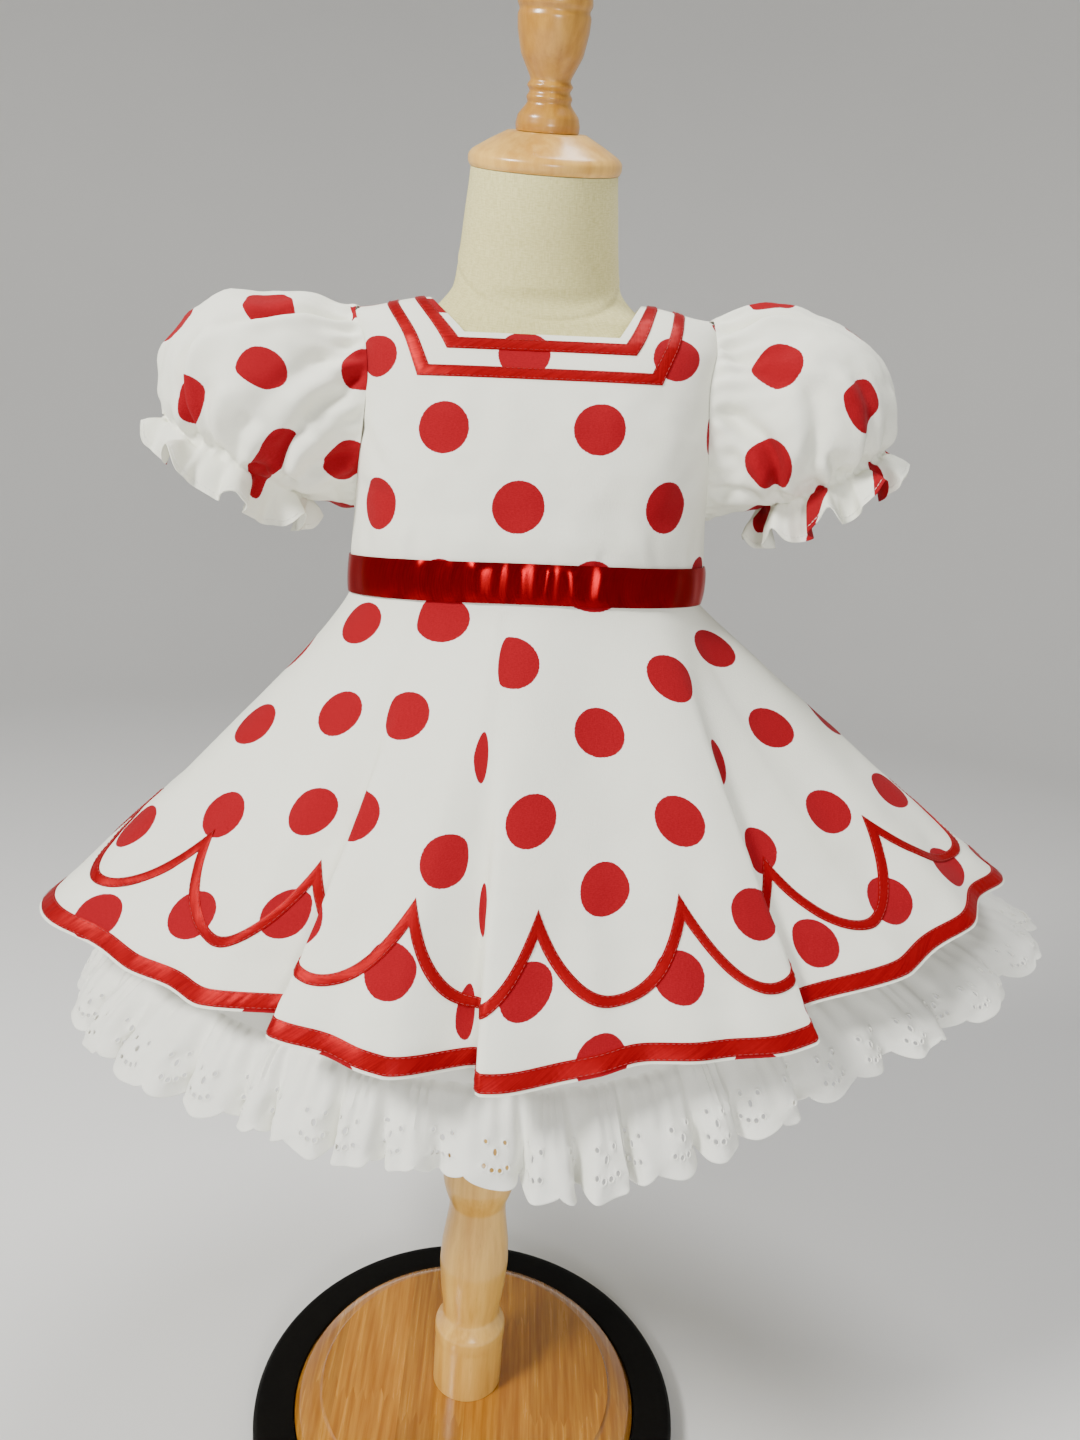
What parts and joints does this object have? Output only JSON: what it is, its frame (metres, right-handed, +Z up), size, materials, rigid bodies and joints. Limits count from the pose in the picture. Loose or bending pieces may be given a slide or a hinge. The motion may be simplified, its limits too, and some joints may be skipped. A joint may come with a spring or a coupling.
{
  "type": "puff-sleeve party dress on a limbless dress form",
  "caption": "Toddler's flared dress with puff sleeves, ribbon trims, a sash and an underskirt with an eyelet ruffle, worn by a limbless dress form on a turned wooden stand.",
  "frame": {"origin": "middle of the base's flat underside, on the floor", "axes": "+Z up along the pole, the dress's front faces -Y, +X to the right of someone who faces that front"},
  "size_m": [0.5892, 0.4069, 0.8912],
  "materials": {
    "dotted_cotton": "plain-weave white cotton with printed red dots",
    "red_satin": "red satin ribbon",
    "white_cotton": "white cotton with embroidered eyelets",
    "linen": "natural linen stretched over the form",
    "pale_wood": "clear satin lacquer",
    "black_wood": "black satin paint"
  },
  "bodies": {
    "root": {"bodice_front": "dotted_cotton", "bodice_back": "dotted_cotton", "sleeve_left": "dotted_cotton", "sleeve_right": "dotted_cotton", "skirt_front": "dotted_cotton", "skirt_back": "dotted_cotton", "neck_ribbon_inner_front": "red_satin", "neck_ribbon_inner_back": "red_satin", "neck_ribbon_outer_front": "red_satin", "neck_ribbon_outer_back": "red_satin", "sash": "red_satin", "scallop_ribbon_front": "red_satin", "scallop_ribbon_back": "red_satin", "hem_ribbon_front": "red_satin", "hem_ribbon_back": "red_satin", "underskirt_front": "white_cotton", "underskirt_back": "white_cotton", "eyelet_ruffle_front": "white_cotton", "eyelet_ruffle_back": "white_cotton", "form_torso": "linen", "form_neck_cap": "pale_wood", "form_finial": "pale_wood", "stand_pole": "pale_wood", "stand_base_disc": "pale_wood", "stand_base_ring": "black_wood"}
  },
  "joints": []
}
